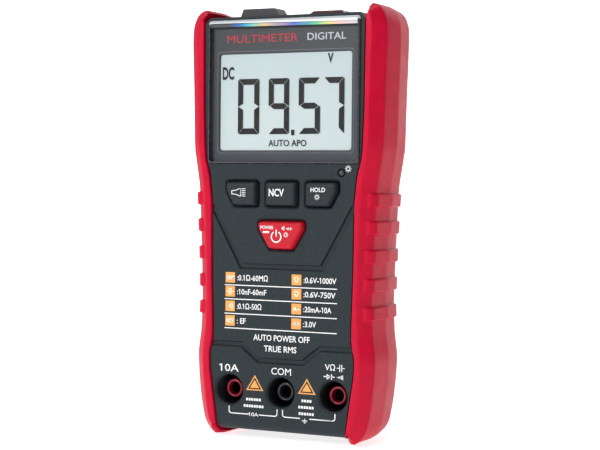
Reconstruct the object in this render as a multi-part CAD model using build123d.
from build123d import *
import os

# Handheld digital multimeter with soft side rails, four keys and three shrouded 4 mm sockets.
# Millimetres. +Z runs up the meter, the display side faces -Y and +X is to the right seen from
# the front. The origin is the centre of the underside of the meter's bounding box.
# "Depth" below is the distance behind the flat front face of the front case.

# ---------------------------------------------------------------- driving dimensions
KEY_PROUD = 1.6            # a key's face in front of the case face
BACK_DEPTH = 32.6          # rearmost point of the side rails
FRONT_Y = -(BACK_DEPTH - KEY_PROUD) / 2
CASE_DEPTH = 30.5          # front face to back face of the closed case
PARTING_DEPTH = 14.0       # where the front and rear case meet
WALL = 2.2
CASE_EDGE_R = 3.0          # rounding along the bottom front edge
GAP = 0.1                  # clearance between neighbouring static pieces
RUN_GAP = 0.3              # clearance around pieces that move

# Half-width of the case against height, bottom to top: foot, waist, display head.
CASE_OUTLINE = [
    (22.4, 2.5), (23.3, 3.4), (24.4, 12.0), (25.9, 22.0), (26.2, 27.5), (25.0, 33.0),
    (25.0, 38.0), (25.5, 55.0), (25.7, 78.0), (26.6, 86.5), (28.2, 92.5), (28.8, 108.0),
    (29.0, 136.2), (27.2, 138.2),
]
# Half-width of the rails at their widest, against height.
RAIL_OUTLINE = [
    (23.6, 0.0), (27.4, 1.4), (29.8, 5.0), (31.2, 12.0), (32.1, 20.0), (32.5, 27.5),
    (31.4, 35.0), (31.0, 45.0), (31.4, 60.0), (32.0, 73.0), (32.5, 83.0), (33.4, 88.5),
    (34.5, 95.0), (34.9, 112.0), (35.5, 131.0), (35.3, 135.8), (33.6, 139.7), (29.4, 141.5),
]
# Facets across a rail: depth behind the case face and how far the facet edge lies inside
# the widest outline.
RAIL_STATIONS = [(-0.6, 3.6), (2.7, 0.0), (14.0, 0.0), (23.0, 1.2), (29.5, 3.8), (BACK_DEPTH, 6.8)]
RAIL_END_SHARE = 0.25      # share of that distance given back at the two ends
RAIL_LIP_OVER = 0.4        # gap between the case's front outline and the lip's inner edge
RAIL_TOP_INNER = 29.0      # half-width left open between the rails above the case
RAIL_FOOT_INNER = 21.8     # and below it
RAIL_LIP_FOOT_INNER = 23.3 # the same for the lip in front
RAIL_BACK_INNER = 21.6     # and on the back
RAIL_TONGUE = 1.0          # tongue caught between the case halves
RIB_ZS = [42.5, 51.45, 60.65, 69.75, 78.6]
RIB_HEIGHT = 4.8
RIB_PROUD = 0.9
# A rib's own section: depth, distance inside the outline, height above it.
RIB_STATIONS = [(0.75, 2.2, 0.0), (1.45, 1.2, 0.75), (2.7, 0.0, RIB_PROUD), (14.0, 0.0, RIB_PROUD),
                (23.0, 1.2, RIB_PROUD), (27.0, 2.9, 0.0)]

# Side profiles (depth, height) that trim the ends: flat near the front, sloping at the back.
RAIL_PROFILE = [(-6, 0), (16, 0), (24, 1.6), (40, 8.2), (40, 134.0), (26, 140.2), (18, 141.5), (-6, 141.5)]
CASE_PROFILE = [(0, 2.5), (12, 2.5), (21, 5.0), (CASE_DEPTH, 9.4), (CASE_DEPTH, 132.0), (23, 136.6),
                (16, 138.2), (0, 138.2)]

# Display
LENS_HALF = 27.6
LENS_Z = (90.2, 137.2)
LENS_PROUD = 0.8
LENS_POCKET = 1.5
LENS_TOP_BEVEL = 1.8
VIEW_HALF = 24.2
VIEW_Z = (94.3, 126.3)
DISPLAY_PAD_DEPTH = 3.2    # back of the thicker wall around the window
LCD_HALF = 25.2
LCD_Z = (91.6, 128.6)
LCD_DEPTHS = (3.7, 5.9)
LCD_FACE = 1.6             # front of the glass's layer that stands in the window
BACKLIGHT_DEPTHS = (6.0, 8.4)
PCB_DEPTHS = (10.0, 11.6)

# Keys
KEY_ROW_Z = (76.4, 84.3)
KEY_XS = {"torch": (-20.2, -8.9), "ncv": (-5.6, 5.6), "hold": (8.9, 20.2)}
KEY_CUT = (2.8, 4.9)       # the outer lower corner cut off the two outer keys
POWER_KEY = [(-8.2, 71.5), (8.2, 71.5), (8.2, 69.0), (4.2, 62.4), (-4.2, 62.4), (-8.2, 69.0)]
KEY_CORNER_R = 0.9
KEY_EDGE_R = 0.8           # rounding around a key's face
KEY_SLIT = 0.35            # gap around a key in its opening
KEY_MOUTH = 0.6            # bevel around each key opening
KEY_FLANGE = 1.0
KEY_FLANGE_DEPTHS = (2.7, 3.6)
KEY_TRAVEL = 0.5
KEY_STEM_END = 5.5
SWITCH_SIZE = 6.0
SWITCH_DEPTHS = (6.4, 10.0)
PLUNGER_R = 1.7

# Sockets
SOCKET_PITCH = 19.0
SOCKET_Z = 15.7
WELL_R = 4.95
WELL_CHAMFER = 0.7
WELL_END = 22.0
BLOCK_DEPTHS = (2.3, 24.0)
TUBE_R = 3.1
TUBE_BORE_R = 2.55
TUBE_EDGE_R = 0.2
TUBE_FACE = 3.7
SLEEVE_R = 2.5
PLUG_BORE_R = 2.05
SLEEVE_DEPTHS = (6.2, 26.0)

# Small features of the front
SENSOR_X, SENSOR_Z, SENSOR_R = 21.3, 87.3, 1.35
GROOVE_WIDTH = 1.9
GROOVE_DEPTH = 0.6
UPPER_GROOVE = [(-25.6, 76.0), (-14.7, 56.6), (14.7, 56.6), (25.6, 76.0)]
LOWER_GROOVE = [(-26.0, 30.8), (-14.4, 30.8), (-8.1, 25.9), (8.1, 25.9), (14.4, 30.8), (26.0, 30.8)]

# Back
STAND_HALF = 13.5
STAND_Z = (14.0, 71.4)
STAND_THICK = 2.4
STAND_DEPTH = 28.2         # front face of the folded stand
STAND_PIVOT = (29.4, 71.4)
STAND_PIN_R = 1.0
SCOOP_R = 5.0              # finger scoop under the stand's free end
SCOOP_CENTRE = (32.0, 11.5)
BAY_HALF = 14.0            # inside of the battery bay
BAY_Z = (81.0, 128.0)
BAY_FRONT = 16.4
CELL_R = 5.2
CELL_X = 6.4
CELL_Z = (82.4, 126.2)
CELL_DEPTH = 22.6
COVER_THICK = 1.8
COVER_LIP = 1.6            # how far the cover overlaps the bay all round

CASE_SCREWS = [(-20.0, 28.0), (20.0, 28.0), (-19.6, 70.0), (19.6, 70.0)]
PCB_SCREWS = [(-12.0, 87.7), (12.0, 87.7), (-10.5, 33.0), (10.5, 33.0)]


# ---------------------------------------------------------------- helpers
def at(depth):
    return FRONT_Y + depth


def block(x, depth, z):
    size = (x[1] - x[0], depth[1] - depth[0], z[1] - z[0])
    centre = ((x[0] + x[1]) / 2, at((depth[0] + depth[1]) / 2), (z[0] + z[1]) / 2)
    return Pos(*centre) * Box(*size)


def front_plane(depth):
    return Plane(origin=(0, at(depth), 0), x_dir=(1, 0, 0), z_dir=(0, -1, 0))


def face_of(points, depth):
    wire = Polyline(*[(x, z) for x, z in points], close=True)
    return front_plane(depth) * make_face(wire)


def plate(points, depth):
    """A front-view outline extruded between two depths."""
    return extrude(face_of(points, depth[1]), depth[1] - depth[0])


def rounded_plate(points, depth, radius):
    solid = plate(points, depth)
    return fillet(solid.edges().filter_by(Axis.Y), radius)


def rect(x, z):
    return [(x[0], z[0]), (x[1], z[0]), (x[1], z[1]), (x[0], z[1])]


def rod(x, z, radius, depth):
    """A cylinder along the depth."""
    middle = at((depth[0] + depth[1]) / 2)
    return Pos(x, middle, z) * Rot(90, 0, 0) * Cylinder(radius, depth[1] - depth[0])


def tube(x, z, outer, inner, depth):
    return rod(x, z, outer, depth) - rod(x, z, inner, (depth[0] - 1, depth[1] + 1))


def rod_x(x, depth, z, radius):
    return Pos((x[0] + x[1]) / 2, at(depth), z) * Rot(0, 90, 0) * Cylinder(radius, x[1] - x[0])


def rod_z(x, depth, z, radius):
    return Pos(x, at(depth), (z[0] + z[1]) / 2) * Cylinder(radius, z[1] - z[0])


def mirrored(half):
    """A closed outline from its right half, bottom to top."""
    return half + [(-x, z) for x, z in reversed(half)]


def inset(points, amount):
    """The closed outline moved inwards by the amount along the mean normal of each corner."""
    moved = []
    count = len(points)
    for i, (x, z) in enumerate(points):
        before, after = points[i - 1], points[(i + 1) % count]
        n1 = Vector(z - before[1], before[0] - x).normalized()
        n2 = Vector(after[1] - z, x - after[0]).normalized()
        mitre = (n1 + n2).normalized()
        reach = amount / max(mitre.dot(n1), 0.5)
        moved.append((x - mitre.X * reach, z - mitre.Y * reach))
    return moved


def side_prism(profile, shrink=0.0, half=60.0):
    """A side-view (depth, height) profile extruded across the width."""
    points = inset(profile, shrink) if shrink else profile
    wire = Polyline(*[(at(d), z) for d, z in points], close=True)
    plane = Plane(origin=(-half, 0, 0), x_dir=(0, 1, 0), z_dir=(1, 0, 0))
    return extrude(plane * make_face(wire), 2 * half)


def edges_at(edges, depth):
    """The edges that lie at one depth."""
    return edges.filter_by_position(Axis.Y, at(depth) - 0.01, at(depth) + 0.01)


def both_sides(solid):
    return solid + solid.mirror(Plane.YZ)


def group(solids):
    return Compound(children=list(solids))


# ---------------------------------------------------------------- case
CASE_FACE = mirrored(CASE_OUTLINE)
RAIL_FACE = mirrored(RAIL_OUTLINE)


def case_body(grow=0.0):
    """The closed outer form of both case halves, grown by a clearance."""
    body = plate(inset(CASE_FACE, -grow) if grow else CASE_FACE, (0, CASE_DEPTH + grow))
    body = body & side_prism(CASE_PROFILE, -grow)
    bottom_edge = edges_at(body.edges().filter_by(Axis.X), 0).sort_by(Axis.Z)[0]
    return fillet(bottom_edge, CASE_EDGE_R)


def case_cavity():
    hollow = plate(inset(CASE_FACE, WALL), (WALL, CASE_DEPTH - WALL))
    return hollow & side_prism(CASE_PROFILE, WALL)


def key_outline(name, grow=0.0):
    if name == "power":
        return inset(list(reversed(POWER_KEY)), -grow) if grow else list(reversed(POWER_KEY))
    x0, x1 = KEY_XS[name]
    z0, z1 = KEY_ROW_Z
    points = [(x0, z0), (x1, z0), (x1, z1), (x0, z1)]
    if name == "torch":
        points = [(x0 + KEY_CUT[0], z0), (x1, z0), (x1, z1), (x0, z1), (x0, z0 + KEY_CUT[1])]
    if name == "hold":
        points = [(x0, z0), (x1 - KEY_CUT[0], z0), (x1, z0 + KEY_CUT[1]), (x1, z1), (x0, z1)]
    return inset(points, -grow) if grow else points


def key_centre(name):
    if name == "power":
        return 0.0, 67.0
    x0, x1 = KEY_XS[name]
    return (x0 + x1) / 2, sum(KEY_ROW_Z) / 2


def key_mouth(name):
    """The bevel that widens a key's opening at the front face."""
    wide = face_of(key_outline(name, KEY_SLIT + KEY_MOUTH), 0)
    narrow = face_of(key_outline(name, KEY_SLIT), KEY_MOUTH)
    wide = fillet(wide.vertices(), KEY_CORNER_R + KEY_MOUTH)
    narrow = fillet(narrow.vertices(), KEY_CORNER_R)
    return Solid.make_loft([wide.face().outer_wire(), narrow.face().outer_wire()], ruled=True)


KEYS = ["torch", "ncv", "hold", "power"]
SOCKET_XS = {"10a": -SOCKET_PITCH, "com": 0.0, "volt": SOCKET_PITCH}


def groove(points):
    """A shallow channel that follows an open outline on the front face."""
    line = Polyline(*[(x, z) for x, z in points])
    ribbon = offset(line, GROOVE_WIDTH / 2, side=Side.BOTH, kind=Kind.INTERSECTION)
    return extrude(front_plane(GROOVE_DEPTH) * make_face(ribbon), GROOVE_DEPTH + 1)


def rail_tongue(grow=0.0):
    """The ring at the parting line that holds both rails; the rails keep only its sides."""
    depth = (PARTING_DEPTH - 0.9 - grow, PARTING_DEPTH + 0.9 + grow)
    ring = plate(inset(CASE_FACE, -2), depth) - plate(inset(CASE_FACE, RAIL_TONGUE + grow), (0, 40))
    ring = ring - block((-23.9 + grow, 23.9 - grow), (0, 40), (-10, 33))
    return ring - block((-24, 24), (0, 40), (33, 160))


def front_case():
    shell = case_body() - case_cavity()
    shell = shell - block((-60, 60), (PARTING_DEPTH, 60), (-10, 160))
    pad_z = (LENS_Z[0] - 1.5, CASE_OUTLINE[-1][1] - WALL)
    pad = block((-LENS_HALF + 1.5, LENS_HALF - 1.5), (WALL - 0.2, DISPLAY_PAD_DEPTH), pad_z)
    shell = shell + pad
    pocket = rect((-LENS_HALF - GAP, LENS_HALF + GAP), (LENS_Z[0] - GAP, LENS_Z[1] + GAP))
    shell = shell - rounded_plate(pocket, (-1, LENS_POCKET), 1.2)
    shell = shell - rounded_plate(rect((-VIEW_HALF, VIEW_HALF), VIEW_Z), (-1, 8), 1.2)
    for name in KEYS:
        shell = shell - rounded_plate(key_outline(name, KEY_SLIT), (-1, 8), KEY_CORNER_R)
        shell = shell - key_mouth(name)
    for x in SOCKET_XS.values():
        hole = rod(x, SOCKET_Z, WELL_R, (-1, 8))
        shell = shell - hole
        shell = shell - Pos(x, at(WELL_CHAMFER / 2), SOCKET_Z) * Rot(90, 0, 0) * Cone(
            WELL_R, WELL_R + WELL_CHAMFER, WELL_CHAMFER)
    shell = shell - rod(SENSOR_X, SENSOR_Z, SENSOR_R + GAP / 2, (-1, 8))
    shell = shell - groove(UPPER_GROOVE) - groove(LOWER_GROOVE)
    for x, z in CASE_SCREWS:
        shell = shell + tube(x, z, 2.9, 1.05, (WALL - 0.2, PARTING_DEPTH - GAP))
    for x, z in PCB_SCREWS:
        shell = shell + tube(x, z, 2.2, 0.8, (WALL - 0.2, PCB_DEPTHS[0]))
    shell = shell - rail_tongue(GAP)
    return shell - torch_bore(GAP / 2)


def rear_case():
    shell = case_body() - case_cavity()
    shell = shell - block((-60, 60), (-10, PARTING_DEPTH), (-10, 160))
    # Battery bay: a box that opens to the back under the cover.
    bay_wall = 1.4
    bay_outer = block((-BAY_HALF - bay_wall, BAY_HALF + bay_wall), (BAY_FRONT - bay_wall, CASE_DEPTH - 1),
                      (BAY_Z[0] - bay_wall, BAY_Z[1] + bay_wall))
    shell = shell + (bay_outer & side_prism(CASE_PROFILE, 0.5))
    shell = shell - block((-BAY_HALF, BAY_HALF), (BAY_FRONT, 60), BAY_Z)
    seat_x = (-BAY_HALF - COVER_LIP, BAY_HALF + COVER_LIP)
    seat_z = (BAY_Z[0] - COVER_LIP - 4.0, BAY_Z[1] + COVER_LIP - 1.4)
    shell = shell - block(seat_x, (CASE_DEPTH - COVER_THICK - GAP, 60), seat_z)
    # Stand recess: a shallow tray with its own floor.
    tray_x = STAND_HALF + RUN_GAP
    tray_z = (STAND_Z[0] - 1.0, STAND_PIVOT[1] + 1.9)
    floor_depth = STAND_DEPTH - 0.2
    tray = block((-tray_x - 1.4, tray_x + 1.4), (floor_depth - 1.6, CASE_DEPTH - 0.5),
                 (tray_z[0] - 7.0, tray_z[1] + 1.4))
    shell = shell + (tray & side_prism(CASE_PROFILE, 0.5))
    shell = shell - block((-tray_x, tray_x), (floor_depth, 60), tray_z)
    shell = shell - rod_x((-tray_x - 2.6, tray_x + 2.6), STAND_PIVOT[0], STAND_PIVOT[1], STAND_PIN_R + 0.05)
    # Finger scoop below the stand's free end.
    scoop = rod_x((-11.0, 11.0), SCOOP_CENTRE[0], SCOOP_CENTRE[1], SCOOP_R)
    scoop = scoop & block((-12, 12), (floor_depth, 60), (0, STAND_Z[0] + 3.0))
    shell = shell - scoop
    for x, z in CASE_SCREWS:
        shell = shell + tube(x, z, 2.9, 1.45, (PARTING_DEPTH + GAP, CASE_DEPTH - 0.5))
        shell = shell - rod(x, z, 1.45, (0, 60))
        shell = shell - rod(x, z, 2.5, (CASE_DEPTH - 4.0, 60))
    insert_z = BAY_Z[0] - 3.4
    boss_depth = (CASE_DEPTH - 8, CASE_DEPTH - COVER_THICK - GAP)
    shell = shell + block((-3.2, 3.2), boss_depth, (insert_z - 2.0, BAY_Z[0]))
    shell = shell - rod(0, insert_z, 1.6, (CASE_DEPTH - 7, 60))
    return shell - rail_tongue(GAP) - torch_bore(GAP / 2)


def rail_section(depth, amount):
    """The rails' outline at one facet edge, drawn in less at its ends than at its sides."""
    middle = RAIL_OUTLINE[-1][1] / 2
    stretch = 1 + RAIL_END_SHARE * amount / middle
    points = inset(RAIL_FACE, amount) if amount else RAIL_FACE
    points = [(x, middle + (z - middle) * stretch) for x, z in points]
    return face_of(points, depth).face().outer_wire()


def rails():
    body = Solid.make_loft([rail_section(depth, amount) for depth, amount in RAIL_STATIONS], ruled=True)
    body = body & side_prism(RAIL_PROFILE)
    for z in RIB_ZS:
        body = body + rib(z)
    body = body - case_body(GAP)
    lip_clear = plate(inset(CASE_FACE, -RAIL_LIP_OVER), (-10, 0.4))
    body = body - lip_clear
    body = body - block((-RAIL_TOP_INNER, RAIL_TOP_INNER), (-10, 60), (130, 160))
    body = body - block((-RAIL_FOOT_INNER, RAIL_FOOT_INNER), (-10, 60), (-10, 20))
    body = body - block((-RAIL_LIP_FOOT_INNER, RAIL_LIP_FOOT_INNER), (-10, 3), (-10, 20))
    body = body - block((-RAIL_BACK_INNER, RAIL_BACK_INNER), (CASE_DEPTH - 6, 60), (-10, 160))
    body = body + (rail_tongue() & case_body(GAP + 0.3))
    return body


def rib(z):
    """One raised grip bar on both sides, following facets B and C."""
    width = [x for x, _ in RAIL_OUTLINE]
    heights = [h for _, h in RAIL_OUTLINE]
    half = 0.0
    for low in range(len(heights) - 1):
        if heights[low] <= z <= heights[low + 1]:
            share = (z - heights[low]) / (heights[low + 1] - heights[low])
            half = width[low] + share * (width[low + 1] - width[low])
    sections = []
    for depth, amount, proud in RIB_STATIONS:
        outer = half - amount + proud
        crest = RIB_HEIGHT / 2 - 0.5
        foot = RIB_HEIGHT / 2
        points = [(outer - 2.0, z - foot), (outer - 0.8, z - foot), (outer, z - crest),
                  (outer, z + crest), (outer - 0.8, z + foot), (outer - 2.0, z + foot)]
        sections.append(face_of(points, depth).face().outer_wire())
    return both_sides(Solid.make_loft(sections, ruled=True))


# ---------------------------------------------------------------- display
def display_lens():
    body = rounded_plate(rect((-LENS_HALF, LENS_HALF), LENS_Z), (-LENS_PROUD, LENS_POCKET - GAP), 1.1)
    body = chamfer(edges_at(body.edges(), -LENS_PROUD), 0.35)
    wedge = [(-LENS_PROUD - 0.1, LENS_Z[1] - LENS_TOP_BEVEL), (-LENS_PROUD - 0.1, LENS_Z[1] + 1),
             (LENS_PROUD * 0.6, LENS_Z[1] + 1)]
    return body - side_prism(wedge)


def window_frame(depth, outer_half, outer_z, inner_half, inner_z):
    opening = block((-inner_half, inner_half), (depth[0] - 1, depth[1] + 1), inner_z)
    return block((-outer_half, outer_half), depth, outer_z) - opening


def lcd_glass():
    """The display glass, with a front layer that fills the window up to the lens."""
    layer_z = (VIEW_Z[0] + GAP, VIEW_Z[1] - GAP)
    layer = rect((-VIEW_HALF + GAP, VIEW_HALF - GAP), layer_z)
    glass = block((-LCD_HALF, LCD_HALF), LCD_DEPTHS, LCD_Z)
    return glass + rounded_plate(layer, (LCD_FACE, LCD_DEPTHS[0] + GAP), 1.1)


def lcd_frame():
    """The carrier that clips the glass and backlight to the circuit board."""
    outer_z = (LCD_Z[0] - 0.2, LCD_Z[1] + 1.2)
    frame = block((-LCD_HALF - 0.6, LCD_HALF + 0.6), (BACKLIGHT_DEPTHS[0], PCB_DEPTHS[0]), outer_z)
    frame = frame - block((-LCD_HALF, LCD_HALF), (0, BACKLIGHT_DEPTHS[1] + GAP), (LCD_Z[0], LCD_Z[1]))
    return frame - block((-LCD_HALF + 2, LCD_HALF - 2), (0, 20), (LCD_Z[0] - 1, LCD_Z[1] - 3))


# ---------------------------------------------------------------- keys
def key_cap(name):
    cap = rounded_plate(key_outline(name), (-KEY_PROUD, KEY_FLANGE_DEPTHS[1]), KEY_CORNER_R)
    cap = fillet(edges_at(cap.edges(), -KEY_PROUD), KEY_EDGE_R)
    flange = plate(key_outline(name, KEY_FLANGE), KEY_FLANGE_DEPTHS)
    x, z = key_centre(name)
    return cap + flange + rod(x, z, 1.4, (KEY_FLANGE_DEPTHS[1] - 0.1, KEY_STEM_END))


def switch_plunger(name):
    x, z = key_centre(name)
    return rod(x, z, PLUNGER_R, (KEY_STEM_END, SWITCH_DEPTHS[0] + 0.6))


def switch_body(name):
    x, z = key_centre(name)
    half = SWITCH_SIZE / 2
    body = block((x - half, x + half), SWITCH_DEPTHS, (z - half, z + half))
    body = body - rod(x, z, PLUNGER_R + 0.08, (0, SWITCH_DEPTHS[0] + 0.6 + KEY_TRAVEL + 0.3))
    for side in (-1, 1):
        leg_x = x + side * half
        leg_depth = (SWITCH_DEPTHS[1] - 1.6, SWITCH_DEPTHS[1])
        body = body + block((leg_x - 0.3, leg_x + 0.3), leg_depth, (z - 0.4, z + 0.4))
    return body


# ---------------------------------------------------------------- sockets
def terminal_block():
    half = SOCKET_PITCH + WELL_R + 0.9
    body = block((-half, half), (WALL + GAP, BLOCK_DEPTHS[1]), (SOCKET_Z - 5.9, SOCKET_Z + 5.9))
    body = body & side_prism(CASE_PROFILE, WALL + GAP)
    body = body & plate(inset(CASE_FACE, WALL + GAP), (0, 40))
    for x in SOCKET_XS.values():
        body = body - rod(x, SOCKET_Z, WELL_R, (0, WELL_END))
        body = body - rod(x, SOCKET_Z, SLEEVE_R + 0.01, (0, 60))
    for x, z in CASE_SCREWS[:2]:
        body = body - rod(x, z, 3.1, (0, 60))
    return body


def socket_tube(x):
    """The shroud around a sleeve."""
    body = tube(x, SOCKET_Z, TUBE_R, TUBE_BORE_R, (TUBE_FACE, WELL_END))
    mouth = edges_at(body.edges().filter_by(GeomType.CIRCLE), TUBE_FACE)
    return fillet(mouth, TUBE_EDGE_R)


def contact_sleeve(x):
    """Split brass sleeve that grips a 4 mm plug, with a solder tail at its back."""
    body = rod(x, SOCKET_Z, SLEEVE_R, SLEEVE_DEPTHS)
    body = body - rod(x, SOCKET_Z, PLUG_BORE_R, (0, SLEEVE_DEPTHS[1] - 1.5))
    slit = block((x - 0.3, x + 0.3), (0, SLEEVE_DEPTHS[0] + 7), (SOCKET_Z, SOCKET_Z + 5))
    return body - slit


# ---------------------------------------------------------------- circuit board and its parts
def pcb():
    lower = block((-22.0, 22.0), PCB_DEPTHS, (23.5, 93.0))
    upper = block((-25.4, 25.4), PCB_DEPTHS, (92.9, 131.0))
    board = lower + upper
    for x, z in CASE_SCREWS:
        board = board - rod(x, z, 3.2, (0, 20))
    for x, z in PCB_SCREWS:
        board = board - rod(x, z, 1.2, (0, 20))
    return board


def chip(x, z, width, height, thick):
    """A flat package on the back of the board with a row of legs along both sides."""
    base = PCB_DEPTHS[1]
    body = block((x - width / 2, x + width / 2), (base + 0.1, base + thick), (z - height / 2, z + height / 2))
    count = int(height / 1.27)
    for i in range(count):
        leg_z = z + (i - (count - 1) / 2) * 1.27
        leg_x = (x - width / 2 - 0.9, x + width / 2 + 0.9)
        body = body + block(leg_x, (base, base + 0.3), (leg_z - 0.2, leg_z + 0.2))
    return body


def resistor(x, z, length, radius):
    base = PCB_DEPTHS[1] + radius + 0.2
    body = rod_z(x, base, (z - length / 2, z + length / 2), radius)
    for side in (-1, 1):
        end = z + side * (length / 2 + 1.2)
        body = body + rod_z(x, base, sorted((z + side * (length / 2 - 0.2), end + side * 0.4)), 0.32)
        body = body + rod(x, end, 0.25, (PCB_DEPTHS[1], base))
    return body


def disc_part(x, z, radius, thick):
    """A leaded disc standing on the back of the board."""
    centre = PCB_DEPTHS[1] + radius + 0.8
    body = rod_x((x - thick / 2, x + thick / 2), centre, z, radius)
    for side in (-1, 1):
        body = body + rod(x, z + side * radius * 0.6, 0.3, (PCB_DEPTHS[1], centre))
    return body


FUSE_Z = 41.0
FUSE_DEPTH = 17.0
FUSE_R = 2.6
FUSE_HALF = 10.0


def fuse_clips():
    clips = []
    for side in (-1, 1):
        x = (side * (FUSE_HALF - 2.5) - 1.6, side * (FUSE_HALF - 2.5) + 1.6)
        wide = (x[0] - 1, x[1] + 1)
        ring = rod_x(x, FUSE_DEPTH, FUSE_Z, FUSE_R + 0.55) - rod_x(wide, FUSE_DEPTH, FUSE_Z, FUSE_R + 0.05)
        ring = ring - block(wide, (FUSE_DEPTH + 1.4, 40), (FUSE_Z - 5, FUSE_Z + 5))
        foot = block(x, (PCB_DEPTHS[1], FUSE_DEPTH - FUSE_R - 0.2), (FUSE_Z - 1.2, FUSE_Z + 1.2))
        clips.append(ring + foot)
    return group(clips)


def fuse_body():
    return rod_x((-FUSE_HALF + 5.2, FUSE_HALF - 5.2), FUSE_DEPTH, FUSE_Z, FUSE_R - 0.15)


def fuse_caps():
    return group([rod_x(sorted((side * (FUSE_HALF - 5.2), side * FUSE_HALF)), FUSE_DEPTH, FUSE_Z, FUSE_R)
                  for side in (-1, 1)])


def current_shunt():
    """Thick resistance-wire staple between the 10 A and common tracks."""
    z = 29.0
    legs = [rod(x, z, 0.75, (PCB_DEPTHS[1], 17.0)) for x in (-14.5, -4.5)]
    bar = rod_x((-15.25, -3.75), 17.0, z, 0.75)
    return legs[0] + legs[1] + bar


# ---------------------------------------------------------------- top edge: torch and detector
TORCH_X = 11.5
TORCH_DEPTH = 12.0
TORCH_R = 2.5


def torch_bore(grow=0.0):
    return rod_z(TORCH_X, TORCH_DEPTH, (130, 150), TORCH_R + 0.3 + grow)


def torch_lens():
    """A low clear dome with a flange, standing a little above the top of the case."""
    stem = rod_z(TORCH_X, TORCH_DEPTH, (134.6, 138.2), TORCH_R)
    hood = block((TORCH_X - 6.25, TORCH_X + 6.25), (TORCH_DEPTH - 4.0, TORCH_DEPTH + 4.0), (138.3, 140.1))
    top = hood.faces().sort_by(Axis.Z)[-1].edges()
    hood = chamfer(top, 1.1)
    return stem + hood + rod_z(TORCH_X, TORCH_DEPTH, (138.0, 138.4), TORCH_R)


def ncv_nose():
    """The hollow bump over the detector's antenna."""
    outline = [(-19.6, 138.3), (-4.6, 138.3), (-6.8, 141.4), (-18.4, 141.4)]
    nose = plate(outline, (6.5, 13.6))
    return nose - block((-17.6, -7.6), (8.0, 12.2), (138.0, 140.2))


# ---------------------------------------------------------------- power and stand
def battery_cell(x):
    body = rod_z(x, CELL_DEPTH, (CELL_Z[0], CELL_Z[1] - 1.0), CELL_R)
    rims = body.edges().filter_by(GeomType.CIRCLE)
    return fillet(rims, 0.5) + rod_z(x, CELL_DEPTH, (CELL_Z[1] - 1.1, CELL_Z[1]), 1.9)


def battery_plates():
    """Flat contacts: a bridge along the top and two tabs at the bottom."""
    top = block((-11.5, 11.5), (19.0, 26.0), (CELL_Z[1] + 0.05, CELL_Z[1] + 0.55))
    tabs = [block((x - 4.5, x + 4.5), (19.0, 26.0), (BAY_Z[0], BAY_Z[0] + 0.5)) for x in (-CELL_X, CELL_X)]
    return group([top] + tabs)


def battery_springs():
    """Conical springs under both cells, drawn as stacked rings."""
    springs = []
    for x in (-CELL_X, CELL_X):
        z0, z1 = BAY_Z[0] + 0.5, CELL_Z[0]
        spring = Pos(x, at(CELL_DEPTH), (z0 + z1) / 2) * Cone(3.6, 2.4, z1 - z0)
        springs.append(spring - rod_z(x, CELL_DEPTH, (z0 - 1, z1 + 1), 1.6))
    return group(springs)


def battery_cover():
    x = BAY_HALF + COVER_LIP - GAP
    z = (BAY_Z[0] - COVER_LIP - 4.0 + GAP, BAY_Z[1] + COVER_LIP - 1.4 - GAP)
    body = block((-x, x), (CASE_DEPTH - COVER_THICK, CASE_DEPTH), z)
    for i in range(5):
        rib_z = 118.0 - i * 2.4
        body = body - block((-7, 7), (CASE_DEPTH - 0.5, CASE_DEPTH + 1), (rib_z - 0.5, rib_z + 0.5))
    screw_z = BAY_Z[0] - 3.4
    return body - rod(0, screw_z, 1.1, (0, 60)) - rod(0, screw_z, 2.1, (CASE_DEPTH - 1.2, 60))


def countersunk_screw(x, z, head_r, head, shank_r, end):
    """A pan-head screw whose head lies between two depths, with a cross recess."""
    body = rod(x, z, head_r, head) + rod(x, z, shank_r, (end, head[0] + 0.1))
    for a, b in ((1.3, 0.3), (0.3, 1.3)):
        body = body - block((x - a, x + a), (head[1] - 0.8, head[1] + 1), (z - b, z + b))
    return body


def case_screws():
    head = (CASE_DEPTH - 4.0, CASE_DEPTH - 2.2)
    return group([countersunk_screw(x, z, 2.4, head, 1.0, 6.0) for x, z in CASE_SCREWS])


def pcb_screws():
    head = (PCB_DEPTHS[1], PCB_DEPTHS[1] + 1.4)
    return group([countersunk_screw(x, z, 1.9, head, 0.75, 5.0) for x, z in PCB_SCREWS])


def kickstand():
    z0, z1 = STAND_Z
    body = block((-STAND_HALF, STAND_HALF), (STAND_DEPTH, STAND_DEPTH + STAND_THICK), (z0, z1))
    body = body + rod_x((-STAND_HALF, STAND_HALF), STAND_PIVOT[0], STAND_PIVOT[1], STAND_THICK / 2)
    window = rounded_plate(rect((-8.0, 8.0), (24.0, 60.0)), (0, 60), 2.0)
    body = body - window
    bar = block((-1.5, 1.5), (STAND_DEPTH, STAND_DEPTH + STAND_THICK), (23.0, 61.0))
    body = body + bar
    return body - rod_x((-STAND_HALF - 1, STAND_HALF + 1), STAND_PIVOT[0], STAND_PIVOT[1], STAND_PIN_R + 0.01)


def kickstand_pins():
    pins = []
    for side in (-1, 1):
        reach = sorted((side * 7.0, side * (STAND_HALF + RUN_GAP + 2.3)))
        pins.append(rod_x(reach, STAND_PIVOT[0], STAND_PIVOT[1], STAND_PIN_R))
    return group(pins)


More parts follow.
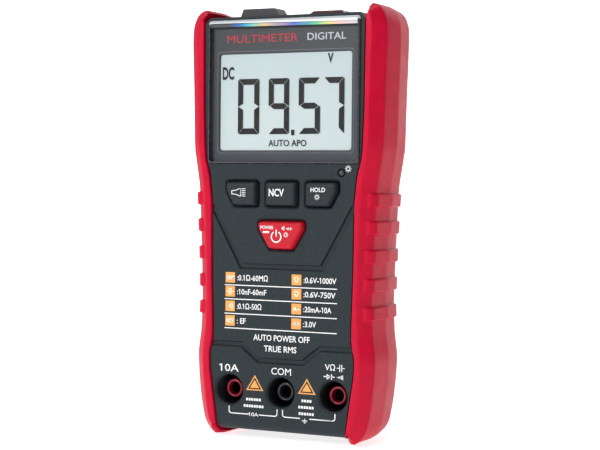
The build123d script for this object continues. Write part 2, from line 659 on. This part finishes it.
# ---------------------------------------------------------------- nodes
def build_nodes():
    both = rails()
    cover_screw_z = BAY_Z[0] - 3.4
    sensor_x = (SENSOR_X - 1.0, SENSOR_X + 0.6)
    board_back = PCB_DEPTHS[1]
    buzzer = rod(13.5, 55.5, 6.0, (board_back, board_back + 4.2))
    left = both & block((-90, 0), (-20, 80), (-20, 180))
    right = both & block((0, 90), (-20, 80), (-20, 180))
    nodes = {
        "front_case": front_case(),
        "rear_case": rear_case(),
        "side_rail_left": left,
        "side_rail_right": right,
        "display_lens": display_lens(),
        "display_gasket": window_frame((DISPLAY_PAD_DEPTH, LCD_DEPTHS[0]), LCD_HALF, LCD_Z,
                                       VIEW_HALF, VIEW_Z),
        "lcd_glass": lcd_glass(),
        "backlight_panel": block((-24.6, 24.6), BACKLIGHT_DEPTHS, (94.2, 128.2)),
        "lcd_frame": lcd_frame(),
        "zebra_strip": block((-22.5, 22.5), (LCD_DEPTHS[1], PCB_DEPTHS[0]), (91.7, 93.7)),
        "tact_switches": group([switch_body(name) for name in KEYS]),
        "terminal_block": terminal_block(),
        "pcb": pcb(),
        "main_ic": chip(0, 62.0, 10.0, 10.4, 1.7),
        "memory_chip": chip(-13.5, 55.0, 4.0, 5.2, 1.6),
        "reference_chip": chip(13.5, 70.0, 4.0, 5.2, 1.6),
        "crystal": block((-14.8, -10.2), (board_back, board_back + 3.4), (64.0, 75.0)),
        "buzzer": buzzer - rod(13.5, 55.5, 1.0, (15.0, 17.0)),
        "ptc_thermistor": disc_part(17.5, 39.0, 3.4, 3.2),
        "varistors": group([disc_part(x, 47.5, 3.4, 2.6) for x in (-16.0, -11.0)]),
        "input_resistors": group([resistor(x, 77.0, 6.0, 1.1) for x in (-6.0, -2.0, 2.0, 6.0)]),
        "capacitors": group([rod(x, 49.5, 2.0, (board_back, board_back + 5.0)) for x in (-4.5, 1.0)]),
        "current_shunt": current_shunt(),
        "fuse_body": fuse_body(),
        "fuse_caps": fuse_caps(),
        "fuse_clips": fuse_clips(),
        "light_sensor": block(sensor_x, (7.0, PCB_DEPTHS[0]), (SENSOR_Z - 1.0, SENSOR_Z + 1.0)),
        "sensor_window": rod(SENSOR_X, SENSOR_Z, SENSOR_R, (0.15, 5.0)),
        "torch_lens": torch_lens(),
        "torch_led": rod_z(TORCH_X, TORCH_DEPTH + 1.6, (131.2, 134.4), 1.5),
        "ncv_nose": ncv_nose(),
        "ncv_antenna": block((-17.0, -8.2), (board_back, board_back + 0.4), (126.0, 130.8)),
        "battery_cell_left": battery_cell(-CELL_X),
        "battery_cell_right": battery_cell(CELL_X),
        "battery_plates": battery_plates(),
        "battery_springs": battery_springs(),
        "battery_cover": battery_cover(),
        "battery_cover_screw": countersunk_screw(0, cover_screw_z, 2.0, (CASE_DEPTH - 1.2, CASE_DEPTH - 0.2),
                                                 1.0, CASE_DEPTH - 6.5),
        "battery_cover_insert": tube(0, cover_screw_z, 1.58, 1.06,
                                     (CASE_DEPTH - 6.8, CASE_DEPTH - COVER_THICK - 0.2)),
        "kickstand": kickstand(),
        "kickstand_pins": kickstand_pins(),
        "case_screws": case_screws(),
        "pcb_screws": pcb_screws(),
    }
    for name in KEYS:
        nodes[name + "_key"] = key_cap(name)
        nodes[name + "_switch_plunger"] = switch_plunger(name)
    for name, x in SOCKET_XS.items():
        nodes["socket_tube_" + name] = socket_tube(x)
        nodes["contact_sleeve_" + name] = contact_sleeve(x)
    return nodes


os.makedirs("parts", exist_ok=True)
for node_name, shape in build_nodes().items():
    export_step(shape, "parts/" + node_name + ".step")
